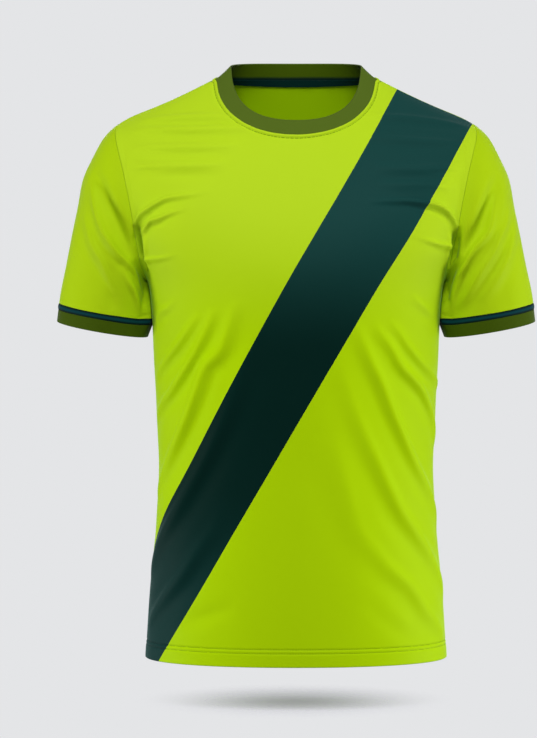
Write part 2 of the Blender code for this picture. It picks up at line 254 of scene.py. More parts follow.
def open_along(point, edge, names):
    """Marks a seam from a point along a line of the net, for as long as it runs in the named pieces."""
    wanted = {NUMBER[name] for name in names}
    while edge and not edge.seam:
        edge.seam = True
        point = edge.other_vert(point)
        edge = straight_on(point, edge) if pieces_at(point) <= wanted else None


def way_into(number, point):
    """The edge that leads from a point on a piece's border into that piece."""
    return next(way for way in point.link_edges if pieces_at(way) == {number} and not way.is_boundary)


for edge in skin.edges:
    edge.seam = len(pieces_at(edge)) > 1
for side in ("left", "right"):
    names = f"{side}_sleeve", f"{side}_cuff_stripe", f"{side}_cuff"
    shared = [point for point in skin.verts if pieces_at(point) == BODY | {NUMBER[names[0]]}]
    armpit = min(shared, key=lambda point: point.co.z)
    open_along(armpit, way_into(NUMBER[names[0]], armpit), names)
centre_back = max(
    (point for point in skin.verts if pieces_at(point) == {NUMBER["collar_rib"]} and point.is_boundary),
    key=lambda point: point.co.y - abs(point.co.x),
)
open_along(centre_back, way_into(NUMBER["collar_rib"], centre_back), ["collar_rib"])
print("opened", sum(edge.seam for edge in skin.edges), "edges")

# %% Lay the pieces flat
UNWRAP_ROUNDS = 30


def mesh_from(name, made):
    """A mesh of what was made, whose working copy is then let go."""
    mesh = bpy.data.meshes.new(name)
    made.to_mesh(mesh)
    made.free()
    return mesh


def as_object(name, data):
    thing = bpy.data.objects.new(name, data)
    bpy.context.scene.collection.objects.link(thing)
    return thing


jersey = as_object("jersey", mesh_from("net", skin))
bpy.context.view_layer.objects.active = jersey
bpy.ops.object.mode_set(mode="EDIT")
bpy.ops.mesh.select_all(action="SELECT")
bpy.ops.uv.unwrap(method="MINIMUM_STRETCH", iterations=UNWRAP_ROUNDS)
bpy.ops.object.mode_set(mode="OBJECT")
print("unwrapped", len(jersey.data.polygons), "cells")

# %% [markdown]
# ## A finer net
#
# Three rounds of Catmull and Clark's subdivision make cells of 2 to 3 mm, small enough to hold a crease
# as sharp as knitted cloth makes. It is applied straight away, so that the creases can be laid into real
# points rather than into a modifier's result.

# %% Refine the net
ROUNDS_OF_SUBDIVISION = 3


def applied(thing):
    """The mesh of an object with its modifiers applied."""
    return bpy.data.meshes.new_from_object(thing.evaluated_get(bpy.context.evaluated_depsgraph_get()))


refine = jersey.modifiers.new("refine", "SUBSURF")
refine.levels = refine.render_levels = ROUNDS_OF_SUBDIVISION
refine.boundary_smooth = "PRESERVE_CORNERS"
fine = applied(jersey)
bpy.data.objects.remove(jersey)


def values(source, name, width=1, kind=np.float32):
    """One value, or a few, for each member of a mesh's list, as an array."""
    found = np.empty(len(source) * width, kind)
    source.foreach_get(name, found)
    return found.reshape(-1, width) if width > 1 else found


piece_of_cell = values(fine.polygons, "material_index", kind=np.int32)
piece_of_corner = np.repeat(piece_of_cell, values(fine.polygons, "loop_total", kind=np.int32))
point_of_corner = values(fine.loops, "vertex_index", kind=np.int32)
places = values(fine.vertices, "co", 3).astype(float)
area_of_cell = values(fine.polygons, "area").astype(float)
print("refined:", len(places), "points,", len(piece_of_cell), "cells")

# %% [markdown]
# A flat piece is set upright by comparing it with a simple wrap of itself: the way round the piece,
# times its girth, and the height. The best turn or mirroring between the two comes from a singular value
# decomposition, which is how two clouds of points are usually lined up.

# %% Turn and scale the flat pieces
flat = values(fine.uv_layers.active.uv, "vector", 2).astype(float)
FlatSize = namedtuple("FlatSize", "width length area")
flat_sizes = {}
MIDDLE_BAND = 2 * MM


def wrap_of(piece, points):
    """Where points lie round a piece, from its middle, and how high."""
    low, high = np.array(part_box(piece.node))
    spokes = points[:, :2] - (low + high)[:2] / 2
    ahead, aside = spokes @ piece.facing, spokes @ piece.across
    return np.stack([np.arctan2(aside, ahead) * np.hypot(ahead, aside).mean(), points[:, 2]], 1)


for number, piece in enumerate(PIECES):
    corners = piece_of_corner == number
    laid, wrap = flat[corners], wrap_of(piece, places[point_of_corner[corners]])
    laid = laid - laid.mean(0)
    turn, _, mirror = np.linalg.svd(laid.T @ (wrap - wrap.mean(0)))
    quads = flat[corners].reshape(-1, 4, 2)
    legs = quads[:, 2] - quads[:, 0], quads[:, 3] - quads[:, 1]
    laid_area = abs(legs[0][:, 0] * legs[1][:, 1] - legs[0][:, 1] * legs[1][:, 0]).sum() / 2
    true_area = area_of_cell[piece_of_cell == number].sum()
    laid = laid @ turn @ mirror * math.sqrt(true_area / laid_area)
    middle = laid[abs(wrap[:, 0]) < MIDDLE_BAND, 0].mean()
    laid -= middle, laid[:, 1].min()
    flat[corners] = laid
    flat_sizes[piece.node] = FlatSize(*np.ptp(laid, 0), true_area)
    print(piece.node, "lies flat in", [round(1000 * size) for size in np.ptp(laid, 0)], "mm")

# %% [markdown]
# ## Creases
#
# A worn jersey creases where it is pushed together or pulled: round the armholes, under the arms, and in
# long slanting folds that run from the waist to the side seams. Simulation gives creases of its own
# choosing, so these are listed one by one. Each row is one crease: its height and width, its lean, and its
# line on the piece's flat cut, in millimetres from the middle and up from the lowest edge. A lean of 0 is
# a plain ridge, or a trough where the height is negative. A lean of 1 or -1 is a step, which stands high
# on one side of the line and sinks on the other, as a fold does that has fallen over. A fifth number is
# the share of the line at which the crease is fullest. It is 0.5, the middle, where none is given, and
# more is nearer the side seam or the armhole that the crease runs into.

# %% Creases of the front
creases = {}
creases["front_panel"] = (
    # Slanting folds on the wearer's left, from the waist round the side.
    (4.2, 6.5, 1, ((108, 402), (124, 386), (139, 372), (165, 350), (195, 333), (228, 318))),
    (5.8, 8, 1, ((88, 398), (112, 369), (127, 348), (147, 332), (165, 316), (198, 277), (214, 250))),
    (6.4, 10, 1, ((62, 398), (84, 354), (101, 324), (119, 285), (152, 232), (190, 188), (225, 155))),
    (5.6, 12, 1, ((34, 376), (67, 286), (94, 231), (111, 199), (132, 167), (184, 114), (234, 68)), 0.66),
    (4.0, 12, 1, ((66, 160), (84, 138), (106, 110), (138, 84), (163, 58), (186, 42), (214, 20)), 0.62),
    (-1.2, 10, 0, ((78, 80), (111, 50), (138, 35), (170, 27))),
    (2.2, 18, 1, ((30, 266), (48, 204), (62, 159), (82, 110))),
    # The same on the wearer's right, where the sash runs down into them.
    (4.4, 6.5, -1, ((-114, 410), (-132, 390), (-147, 376), (-171, 355), (-210, 328))),
    (6.8, 8, -1, ((-90, 418), (-118, 371), (-138, 344), (-160, 319), (-176, 306), (-214, 280))),
    (7.2, 10, -1, ((-64, 424), (-86, 369), (-107, 346), (-121, 315), (-140, 276), (-174, 227), (-212, 190))),
    (5.9, 12, -1, (
        (-40, 372), (-64, 316), (-96, 256), (-136, 191), (-161, 158), (-184, 134), (-226, 94),
    ), 0.6),
    (5.4, 11, -1, ((-80, 182), (-94, 154), (-115, 128), (-137, 100), (-166, 72), (-214, 34)), 0.6),
    (-2.0, 10, 0, ((-70, 70), (-108, 57), (-142, 46))),
    # Crescents round the armholes, where the chest swells past the sleeve.
    (6.2, 3.8, -1, (
        (-94, 556), (-120, 551), (-134, 549), (-151, 546), (-164, 541), (-177, 536), (-189, 529),
        (-198, 520), (-203, 506),
    ), 0.68),
    (5.8, 3.5, -1, (
        (-122, 535), (-136, 531), (-150, 528), (-161, 524), (-172, 521), (-181, 516), (-194, 507),
    ), 0.66),
    (2.8, 3.4, -1, ((-132, 483), (-145, 480), (-158, 478), (-175, 477), (-195, 476), (-212, 476)), 0.7),
    (-13.0, 4.6, 0, ((-199, 522), (-199, 506), (-200, 491), (-201, 477), (-202, 462))),
    (4.2, 5, 0, ((-188, 516), (-188, 496), (-191, 482), (-195, 462))),
    (2.4, 5, -1, ((-146, 428), (-165, 418), (-180, 410), (-200, 396)), 0.6),
    (7.6, 4.0, 1, (
        (80, 542), (112, 543), (131, 543), (145, 542), (159, 540), (173, 537), (185, 530), (195, 521),
        (202, 504),
    ), 0.62),
    (3.8, 3.6, 1, ((128, 503), (144, 500), (157, 498), (174, 495), (196, 491), (212, 489)), 0.72),
    (-13.0, 4.6, 0, ((201, 520), (203, 504), (206, 491), (210, 477), (213, 463))),
    (4.2, 5, 0, ((191, 514), (193, 492), (198, 468))),
    (2.0, 6, 1, ((140, 432), (163, 418), (190, 404))),
    # Ripples under the shoulders.
    (3.6, 7, -1, ((-60, 658), (-97, 658), (-135, 660), (-200, 663))),
    (4.4, 7, -1, ((-50, 637), (-87, 638), (-132, 640), (-204, 644))),
    (3.8, 7, -1, ((-68, 614), (-104, 613), (-140, 613), (-200, 615))),
    (4.8, 8, -1, ((-80, 587), (-115, 586), (-151, 586), (-206, 587))),
    (3.2, 7, 1, ((84, 661), (113, 659), (157, 658), (218, 653))),
    (3.2, 7, 1, ((82, 628), (114, 625), (151, 623), (208, 620))),
    (4.2, 8, 1, ((92, 583), (122, 582), (152, 582), (204, 587))),
    (2.8, 7, 1, ((96, 564), (119, 562), (144, 562), (190, 560))),
)
print(len(creases["front_panel"]), "creases on the front")

# %% [markdown]
# A short sleeve hangs from its head, so its folds fan out from there and run down to the underarm, with a
# wide hollow above them beside the armhole. The two sleeves are alike but not mirrored.

# %% Creases of the sleeves
creases["right_sleeve"] = (
    # Hollow below the head, and the long folds from the head to the underarm.
    (-9.0, 12, 1, ((34, 168), (57, 149), (69, 137), (80, 122), (89, 106), (98, 90), (109, 72))),
    (5.4, 5.4, 1, ((36, 160), (50, 140), (72, 108), (81, 96), (94, 82), (109, 69), (124, 50), (138, 22))),
    (4.4, 7.5, 1, ((36, 122), (47, 104), (56, 87), (70, 69), (80, 54), (92, 30))),
    (-2.6, 5.5, 0, ((66, 77), (80, 54), (90, 36), (97, 14))),
    (6.0, 7, -1, ((106, 72), (118, 51), (127, 36), (138, 8))),
    # The sleeve's head, its middle and its foot stand a little full.
    (5.0, 38, 0, ((-105, 211), (0, 240), (105, 211))),
    (3.6, 26, 0, ((-100, 150), (0, 164), (100, 150))),
    (1.6, 30, 0, ((-60, 25), (0, 25), (60, 25))),
    # The hidden side, from the underarm back and down.
    (-6.0, 9, 0, ((-64, 158), (-88, 140), (-102, 118), (-110, 94)), 0.6),
    (4.0, 6, 0, ((-48, 140), (-74, 110), (-98, 82), (-122, 56))),
    (-3.6, 5.5, 0, ((-62, 96), (-84, 68), (-104, 40), (-120, 18))),
    (2.6, 6, 0, ((-30, 92), (-48, 64), (-66, 40), (-84, 20))),
)
creases["left_sleeve"] = (
    # Hollow below the head, and the long folds from the head to the underarm.
    (-9.0, 12, -1, ((34, 164), (57, 143), (69, 126), (79, 110), (89, 95), (102, 76))),
    (5.4, 5.4, -1, ((50, 152), (62, 130), (73, 107), (84, 95), (96, 82), (109, 65), (124, 45), (136, 18))),
    (4.8, 6.6, -1, ((30, 132), (44, 110), (57, 93), (66, 84), (85, 58), (103, 33), (120, 12))),
    (3.6, 8, -1, ((20, 108), (34, 86), (48, 68), (66, 44), (88, 20))),
    (6.0, 7, 1, ((108, 76), (120, 54), (130, 36), (140, 8))),
    # The sleeve's head, its middle and its foot stand a little full.
    (5.0, 38, 0, ((-105, 204), (0, 233), (105, 204))),
    (3.6, 26, 0, ((-100, 150), (0, 164), (100, 150))),
    (2.2, 30, 0, ((-60, 25), (0, 25), (60, 25))),
    # The hidden side, from the underarm back and down.
    (-6.4, 9, 0, ((-58, 164), (-84, 146), (-98, 124), (-108, 98)), 0.6),
    (3.6, 6, 0, ((-54, 132), (-80, 100), (-102, 74), (-126, 50))),
    (-3.2, 5.5, 0, ((-56, 88), (-78, 62), (-96, 38), (-112, 16))),
    (3.0, 6.5, 0, ((-22, 110), (-42, 82), (-60, 54), (-74, 28))),
)
print(len(creases["right_sleeve"]), "and", len(creases["left_sleeve"]), "creases on the sleeves")

# %% [markdown]
# The back hangs like the front, so its creases are like the front's, as uneven but not mirrored: folds
# that slant from the small of the back down to the sides, crescents round the armholes, and a shallow
# sag across the shoulder blades.

# %% Creases of the back
creases["back_panel"] = (
    # Slanting folds on the wearer's left, then on the right.
    (4.0, 8, 1, ((70, 404), (104, 366), (142, 330), (176, 302), (222, 272))),
    (5.0, 9, 1, ((46, 372), (82, 312), (118, 262), (160, 214), (218, 170))),
    (4.6, 10, 1, ((62, 236), (98, 186), (140, 146), (184, 112), (224, 86)), 0.6),
    (3.2, 9, 1, ((96, 128), (130, 92), (168, 62), (208, 38)), 0.6),
    (2.4, 6.5, 1, ((122, 398), (152, 374), (184, 352), (220, 338)), 0.6),
    (4.4, 8, -1, ((-84, 412), (-112, 368), (-144, 326), (-182, 290), (-220, 262))),
    (5.2, 9, -1, ((-52, 352), (-86, 296), (-122, 240), (-166, 188), (-222, 140)), 0.6),
    (4.0, 9.5, -1, ((-88, 190), (-120, 146), (-158, 104), (-214, 62)), 0.6),
    (2.2, 6.5, -1, ((-118, 404), (-150, 384), (-182, 366), (-216, 356))),
    (-2.2, 10, 0, ((-90, 82), (-60, 70), (-26, 66))),
    # Crescents round the left armhole, then the right one.
    (-5.5, 5.2, 0, ((104, 560), (138, 556), (166, 546), (184, 530), (194, 508)), 0.66),
    (-3.6, 4.6, 0, ((124, 534), (154, 528), (178, 516), (192, 500)), 0.66),
    (2.4, 6, 0, ((118, 546), (150, 541), (176, 530), (190, 516)), 0.66),
    (-2.2, 4, 0, ((138, 486), (166, 482), (204, 478)), 0.66),
    (-5.0, 5.2, 0, ((-112, 552), (-142, 550), (-170, 540), (-186, 524), (-195, 504)), 0.66),
    (-3.8, 4.6, 0, ((-128, 526), (-158, 520), (-180, 508), (-193, 494)), 0.66),
    (2.4, 6, 0, ((-122, 539), (-152, 534), (-176, 524), (-190, 510)), 0.66),
    # Sags across the shoulder blades.
    (-2.6, 9, 0, ((-96, 612), (-30, 600), (34, 602), (92, 616))),
    (-2.2, 8, 0, ((-70, 574), (-10, 564), (62, 572))),
    (-2.2, 7, 0, ((-188, 650), (-136, 646), (-88, 648))),
    (-2.4, 7, 0, ((92, 642), (140, 638), (190, 642))),
)
print(len(creases["back_panel"]), "creases on the back")

# %% [markdown]
# A crease reaches the cloth near its line and no other: the body's side hangs a few millimetres from the
# sleeve, so nearness alone would press the body's folds into the sleeve too. Cloth that faces away from
# the line is therefore left alone. The line itself runs through its points on a smooth curve, and every
# crease dies away at both ends. Cloth is pushed mostly fore and aft, because a fold that moved it
# sideways too would bend the straight lines of the print.

# %% Lay the creases into the skin
LINE_STEP = 3 * MM
REACH = 2.6
CREST, STEEP, TRENCH, SINK = 0.7, 0.65, 0.9, 0.3
BLUNT_ENDS = 0.8
FACES_THE_SAME_WAY = 0.45
FORE_AND_AFT = 3

normals = values(fine.vertices, "normal", 3).astype(float)


def smooth(share):
    share = np.clip(share, 0, 1)
    return share * share * (3 - 2 * share)


def unit(vectors):
    return vectors / np.linalg.norm(vectors, axis=-1, keepdims=True)


def point_at(name, across, up):
    """The number of the skin's point that lies at a place on a piece's flat cut, in millimetres."""
    corners = np.flatnonzero(piece_of_corner == NUMBER[name])
    aside = flat[corners] - np.array([across, up]) * MM
    return point_of_corner[corners[(aside**2).sum(1).argmin()]]


def curve_through(rows):
    """Rows every few millimetres on a smooth curve through the given ones, by Catmull and Rom's rule."""
    ends = np.vstack([2 * rows[0] - rows[1], rows, 2 * rows[-1] - rows[-2]])
    found = []
    for p0, p1, p2, p3 in zip(ends, ends[1:], ends[2:], ends[3:]):
        steps = max(2, round(float(np.linalg.norm((p2 - p1)[:3])) / LINE_STEP))
        t = np.linspace(0, 1, steps, endpoint=False)[:, None]
        bend = 2 * p0 - 5 * p1 + 4 * p2 - p3
        found.append(p1 + 0.5 * t * (p2 - p0 + t * (bend + t * (3 * (p1 - p2) + p3 - p0))))
    return np.vstack([*found, rows[-1:]])


def crease_heights(name, height, width, lean, drawn, fullest=0.5):
    """How far a crease of a piece moves each point of the skin, in metres."""
    knots = [point_at(name, *place) for place in drawn]
    line = curve_through(np.hstack([places[knots], normals[knots]]))
    line, facing = line[:, :3], unit(line[:, 3:])
    along = unit(np.gradient(line, axis=0))
    reach = REACH * width * MM
    near = np.flatnonzero(((places > line.min(0) - reach) & (places < line.max(0) + reach)).all(1))
    gaps = places[near, None] - line
    nearest = (gaps**2).sum(2).argmin(1)
    gap = gaps[np.arange(len(near)), nearest]
    forward = (gap * along[nearest]).sum(1)
    left_of_line = (gap * np.cross(facing[nearest], along[nearest])).sum(1)
    aside = np.sqrt(np.maximum((gap**2).sum(1) - forward**2, 0)) * np.sign(left_of_line)
    aside /= width * MM
    share = np.clip((nearest + forward / LINE_STEP) / (len(line) - 1), 0, 1)
    if lean:
        aside *= lean
        beyond = aside - CREST
        section = np.exp(-((beyond / np.where(beyond > 0, STEEP, 1)) ** 2))
        section -= SINK * np.exp(-((aside + TRENCH) ** 2))
    else:
        section = np.exp(-(aside**2))
    taper = np.sin(math.pi * share ** (math.log(0.5) / math.log(fullest))) ** BLUNT_ENDS
    alike = smooth((normals[near] * facing[nearest]).sum(1) / FACES_THE_SAME_WAY)
    heights = np.zeros(len(places))
    heights[near] = height * MM * section * taper * alike
    return heights


folds = [crease_heights(name, *row) for name, rows in creases.items() for row in rows]
fold = sum(folds)
ways = unit(normals * (1, FORE_AND_AFT, 1))
print("laid", len(folds), "creases, from", round(fold.min() / MM, 1), "to", round(fold.max() / MM, 1), "mm")

# %% [markdown]
# ## Seams, edges and stitched grooves
#
# Where two pieces are sewn, both roll into the seam and leave a fine groove. The collar's seam is also
# pressed open and stitched down, which raises a narrow strip on the cloth with a groove along its far
# side, and the hem's twin stitching sinks two more grooves. All of them depend only on how far a point
# is from a seam or an edge, so those distances come first.

# %% Measure how far each point is from seams and edges
def points_of(number):
    return np.unique(point_of_corner[piece_of_corner == number])


times_shared = sum(np.bincount(points_of(number), minlength=len(places)) for number in range(len(PIECES)))
on_seam = times_shared > 1
edges = values(fine.edges, "vertices", 2, np.int32)
edge_of_corner = values(fine.loops, "edge_index", kind=np.int32)
open_edges = np.bincount(edge_of_corner, minlength=len(edges)) == 1
on_edge = np.zeros(len(places), bool)
on_edge[edges[open_edges].ravel()] = True


def of_pieces(*names):
    chosen = np.zeros(len(places), bool)
    for name in names:
        chosen[points_of(NUMBER[name])] = True
    return chosen


def distance_to(chosen, most):
    """How far each point is from the nearest chosen one, up to a limit."""
    tree = KDTree(int(chosen.sum()))
    for number, place in enumerate(places[chosen]):
        tree.insert(place, number)
    tree.balance()
    low, high = places[chosen].min(0) - most, places[chosen].max(0) + most
    found = np.full(len(places), most)
    for number in np.flatnonzero(((places > low) & (places < high)).all(1)):
        found[number] = min(most, tree.find(places[number])[2])
    return found


SEEN_FROM_SEAM = 9 * MM
body_cloth = of_pieces(*PANELS)
stripes = of_pieces("left_cuff_stripe", "right_cuff_stripe")
seam_distance = distance_to(on_seam, SEEN_FROM_SEAM)
edge_distance = distance_to(on_edge, SEEN_FROM_SEAM)
collar_distance = distance_to(on_seam & of_pieces("collar_rib"), SEEN_FROM_SEAM)
print(int(on_seam.sum()), "points on seams,", int(on_edge.sum()), "on open edges")

# %% Roll the edges and press the grooves
SEAM_ROLL, EDGE_ROLL = 0.35 * MM, 0.9 * MM
COLLAR_STRIP, COLLAR_STITCH, COLLAR_RISE = 2.0 * MM, 4.4 * MM, 1.0 * MM
HEM_STITCHES = 16.2 * MM, 20.8 * MM
HEM_RISE, HEM_FADE, HEM_GROOVE = 0.3 * MM, 3 * MM, 0.7 * MM
COLLAR_GROOVE, GROOVE_WIDTH = 1.2 * MM, 1.1 * MM
STRIPE_HALF, STRIPE_SWELL, TAPE_CLEAR, TAPE_RISE = 3.5 * MM, 0.8 * MM, 0.8 * MM, 1.4 * MM


def roll(distance, radius):
    """How deep a rounded edge has sunk at a distance from it."""
    return radius - np.sqrt(np.maximum(radius**2 - np.maximum(radius - distance, 0) ** 2, 0))


def groove(distance, depth):
    return depth * np.exp(-((distance / GROOVE_WIDTH) ** 2))


height = -roll(seam_distance, SEAM_ROLL) - roll(edge_distance, EDGE_ROLL)
strip = np.exp(-(((collar_distance - COLLAR_STRIP) / COLLAR_STRIP) ** 4))
height += body_cloth * (COLLAR_RISE * strip - groove(collar_distance - COLLAR_STITCH, COLLAR_GROOVE))
above_hem = places[:, 2] - hem_height
height += body_cloth * HEM_RISE * smooth((HEM_STITCHES[1] - above_hem) / HEM_FADE)
for stitch_line in HEM_STITCHES:
    height -= body_cloth * groove(above_hem - stitch_line, HEM_GROOVE)
height += stripes * STRIPE_SWELL * (1 - np.maximum(1 - seam_distance / STRIPE_HALF, 0) ** 2)
height[of_pieces("back_neck_tape")] = -TAPE_CLEAR
places += ways * fold[:, None] + normals * height[:, None]
places[of_pieces("back_neck_tape"), 2] += TAPE_RISE
print("rolls and grooves from", round(height.min() / MM, 1), "to", round(height.max() / MM, 1), "mm")

# %% [markdown]
# The insides of the sleeves rest against the body. In the solids a few millimetres are left between
# them, so each point of a sleeve that is close to the body is drawn up to it, to within a hair. Just
# under the arm the cloths part like the sides of a narrow cleft, so only the nearest points are drawn
# there, and at its foot a cuff stands a little clear of the body.

# %% Rest the sleeves against the body
HAIR, NARROW, CLOSE, LOOSE = 0.5 * MM, 3 * MM, 9 * MM, 1.8
ROOF, ROOF_FADE, CLEFT, CUFF_FREE = 5.5 * MM, 3 * MM, 50 * MM, 24 * MM
FACES_THE_BODY = -0.2
ARM = "sleeve", "cuff_stripe", "cuff"

roof_height = places[on_seam & body_cloth & of_pieces("left_sleeve"), 2].min() + ROOF
cuff_foot = places[of_pieces("left_cuff", "right_cuff"), 2].min()
arms = of_pieces(*(f"{side}_{name}" for side in ("left", "right") for name in ARM))
body_skin = BVHTree.FromPolygons(
    [Vector(place) for place in places],
    [tuple(cell.vertices) for cell in fine.polygons if cell.material_index in BODY],
)
moved = 0
for number in np.flatnonzero(arms):
    place = Vector(places[number])
    near, facing, _, gap = body_skin.find_nearest(place, CLOSE * LOOSE)
    if near is None or facing.dot(place - near) <= 0:
        continue
    if Vector(normals[number]).dot(facing) > FACES_THE_BODY:
        continue
    under = roof_height - place.z
    close = NARROW + (CLOSE - NARROW) * smooth(under / CLEFT)
    share = 1 - smooth((gap / close - 1) / (LOOSE - 1))
    share *= smooth(under / ROOF_FADE) * smooth((place.z - cuff_foot) / CUFF_FREE)
    places[number] += np.array(near - place) * share * max(0, 1 - HAIR / gap)
    moved += 1
print("rested", moved, "points of the sleeves against the body")

# %% [markdown]
# The skin is written back with its flat cut, which carries the knit and the print, and with each point's
# distance from a seam, which the ribs and tapes use to paint shade towards their seams.

# %% Write the skin back
fine.vertices.foreach_set("co", places.astype(np.float32).ravel())
fine.uv_layers.active.uv.foreach_set("vector", flat.astype(np.float32).ravel())
fine.uv_layers.active.name = "cut"
fine.attributes.new("from_seam", "FLOAT", "POINT").data.foreach_set("value", seam_distance.astype(np.float32))
fine.update()
print("wrote back", len(fine.vertices), "points")

# %% [markdown]
# ## Cut the skin apart and give it thickness
#
# Each piece is cut out of the skin as faces of its own, and its sewn edges are drawn back by a hair, so
# that neighbours never share a place. Solidify then adds the inner face and the walls. The inner face is
# seen only through the openings, so Decimate thins it, and leaves the outer one as it is.

# %% Cut out the pieces
DRAW_BACK = 0.06 * MM
INSIDE_KEPT = {"front_panel": 0.72, "back_panel": 0.8}

whole = bmesh.new()
whole.from_mesh(fine)
whole.verts.ensure_lookup_table()


def cut_out(number, piece):
    """A mesh of one piece's outer face, drawn back from its seams."""
    part = whole.copy()
    part.verts.ensure_lookup_table()
    sewn = [part.verts[place] for place in np.flatnonzero(on_seam)]
    others = [face for face in part.faces if face.material_index != number]
    bmesh.ops.delete(part, geom=others, context="FACES")
    moves = []
    for point in sewn:
        if point.is_valid:
            inner = [edge.other_vert(point) for edge in point.link_edges if not edge.is_boundary]
            moves += [(point, (other.co - point.co).normalized() * DRAW_BACK) for other in inner[:1]]
    for point, move in moves:
        point.co += move
    for face in part.faces:
        face.material_index = 0
        face.smooth = True
    mesh = mesh_from(piece.node, part)
    for _ in ("outer face and walls", "inner face"):
        mesh.materials.append(None)
    return mesh


def with_thickness(piece, mesh):
    """The piece as a thin closed shell, its inner face thinned out."""
    thing = as_object(f"{piece.node}_cloth", mesh)
    for group in ("inside", "walls"):
        thing.vertex_groups.new(name=group)
    wall = thing.modifiers.new("thickness", "SOLIDIFY")
    wall.thickness, wall.offset = piece.thickness, -1
    wall.shell_vertex_group, wall.rim_vertex_group = "inside", "walls"
    wall.material_offset = 1
    thin = thing.modifiers.new("thin", "DECIMATE")
    thin.vertex_group = "inside"
    thin.ratio = INSIDE_KEPT.get(piece.node, 1)
    thing.data = applied(thing)
    thing.modifiers.clear()
    thing.vertex_groups.clear()
    return thing


cloth = {}
for number, piece in enumerate(PIECES):
    cloth[piece.node] = with_thickness(piece, cut_out(number, piece))
    mesh = cloth[piece.node].data
    mesh.calc_loop_triangles()
    print(piece.node, "has", len(mesh.loop_triangles), "triangles")
whole.free()

# %% [markdown]
# ## Stitches
#
# The hem is turned up and held by two rows of stitches, and a third row runs round the neck beside the
# collar. Each row lies in its groove, so it is found as the line along which a distance has one value.
# That line crosses the net's edges at points that are put in order by their direction from the middle.
# A stitch is one small ball, stretched along the row and sunk halfway into the groove. There are
# hundreds of them, so the ball has few faces. A stitch also remembers its place on the flat cut,
# because the thread is printed over where it crosses the sash.

# %% Find the lines to sew along
body_edges = edges[body_cloth[edges].all(1)]
fine_normals = values(fine.vertices, "normal", 3).astype(float)
flat_of_point = np.zeros((len(places), 2))
for name in reversed(PANELS):
    corners = piece_of_corner == NUMBER[name]
    flat_of_point[point_of_corner[corners]] = flat[corners]


def seam_line(distance, level, middle):
    """Places, directions out of the cloth and flat places along the line where a distance has one value."""
    first, second = body_edges.T
    crossed = (distance[first] - level) * (distance[second] - level) < 0
    first, second = first[crossed], second[crossed]
    share = ((level - distance[first]) / (distance[second] - distance[first]))[:, None]
    line = places[first] * (1 - share) + places[second] * share
    out = fine_normals[first] * (1 - share) + fine_normals[second] * share
    order = np.arctan2(line[:, 1] - middle[1], line[:, 0] - middle[0]).argsort()
    return line[order], unit(out[order]), flat_of_point[first][order]


neck = np.mean(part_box("collar_rib"), axis=0)
hem_lines = [seam_line(above_hem, level, (0, 0)) for level in HEM_STITCHES]
collar_line = seam_line(collar_distance, COLLAR_STITCH, neck)
print("rows cross", [len(line) for line, _, _ in (*hem_lines, collar_line)], "edges of the net")

# %% Sew the hem and the collar
STITCH_PITCH, STITCH_LENGTH, STITCH_LIFT = 2.8 * MM, 2.6 * MM, 0.05 * MM
HEM_THREAD, COLLAR_THREAD = 0.5 * MM, 0.85 * MM

ball = bmesh.new()
bmesh.ops.create_uvsphere(ball, u_segments=6, v_segments=4, radius=0.5)
ball_mesh = mesh_from("ball", ball)


def sew(panels, thickness, line, out, cut):
    """Adds a row of stitches, evenly spaced along a closed line, each to the panel that it lies on."""
    steps = np.linalg.norm(np.roll(line, -1, axis=0) - line, axis=1)
    walked = np.concatenate([[0], steps.cumsum()])
    count = round(walked[-1] / STITCH_PITCH)
    for number in range(count):
        at = (np.searchsorted(walked, (number + 0.5) / count * walked[-1]) - 1) % len(line)
        forward = Vector(line[(at + 2) % len(line)] - line[at - 2]).normalized()
        outward = Vector(out[at])
        sideways = outward.cross(forward).normalized()
        axes = Matrix((forward, sideways, forward.cross(sideways))).transposed().to_4x4()
        place = Matrix.Translation(Vector(line[at]) + outward * STITCH_LIFT)
        size = Matrix.Diagonal((STITCH_LENGTH, thickness, thickness, 1))
        stitches = panels["front_panel" if outward.y < 0 else "back_panel"]
        points_before, faces_before = len(stitches.verts), len(stitches.faces)
        stitches.from_mesh(ball_mesh)
        stitches.verts.ensure_lookup_table()
        stitches.faces.ensure_lookup_table()
        bmesh.ops.transform(stitches, matrix=place @ axes @ size, verts=stitches.verts[points_before:])
        for face in stitches.faces[faces_before:]:
            face.smooth = True
            for corner in face.loops:
                corner[stitches.loops.layers.uv["cut"]].uv = cut[at]
    print("sewed a row of", count, "stitches")


panels = {name: bmesh.new() for name in PANELS}
for stitches in panels.values():
    stitches.loops.layers.uv.new("cut")
for hem_line in hem_lines:
    sew(panels, HEM_THREAD, *hem_line)
sew(panels, COLLAR_THREAD, *collar_line)
thread = {}
for name, stitches in panels.items():
    thread[name] = as_object(f"{name}_stitches", mesh_from(f"{name}_stitches", stitches))

# %% [markdown]
# ## Shader maths
#
# A material's pattern is a sum of waves and noises. Written as nodes that is hard to read, so one small
# class wraps a socket and lets Python's own signs add the Math nodes. Its node() adds any other node.

# %% Wrap the sockets
# A Mix node has sockets of the same names for numbers, vectors and colours, so a colour's go by number.
MIX_INPUTS, MIX_OUTPUT = (0, 6, 7), 2


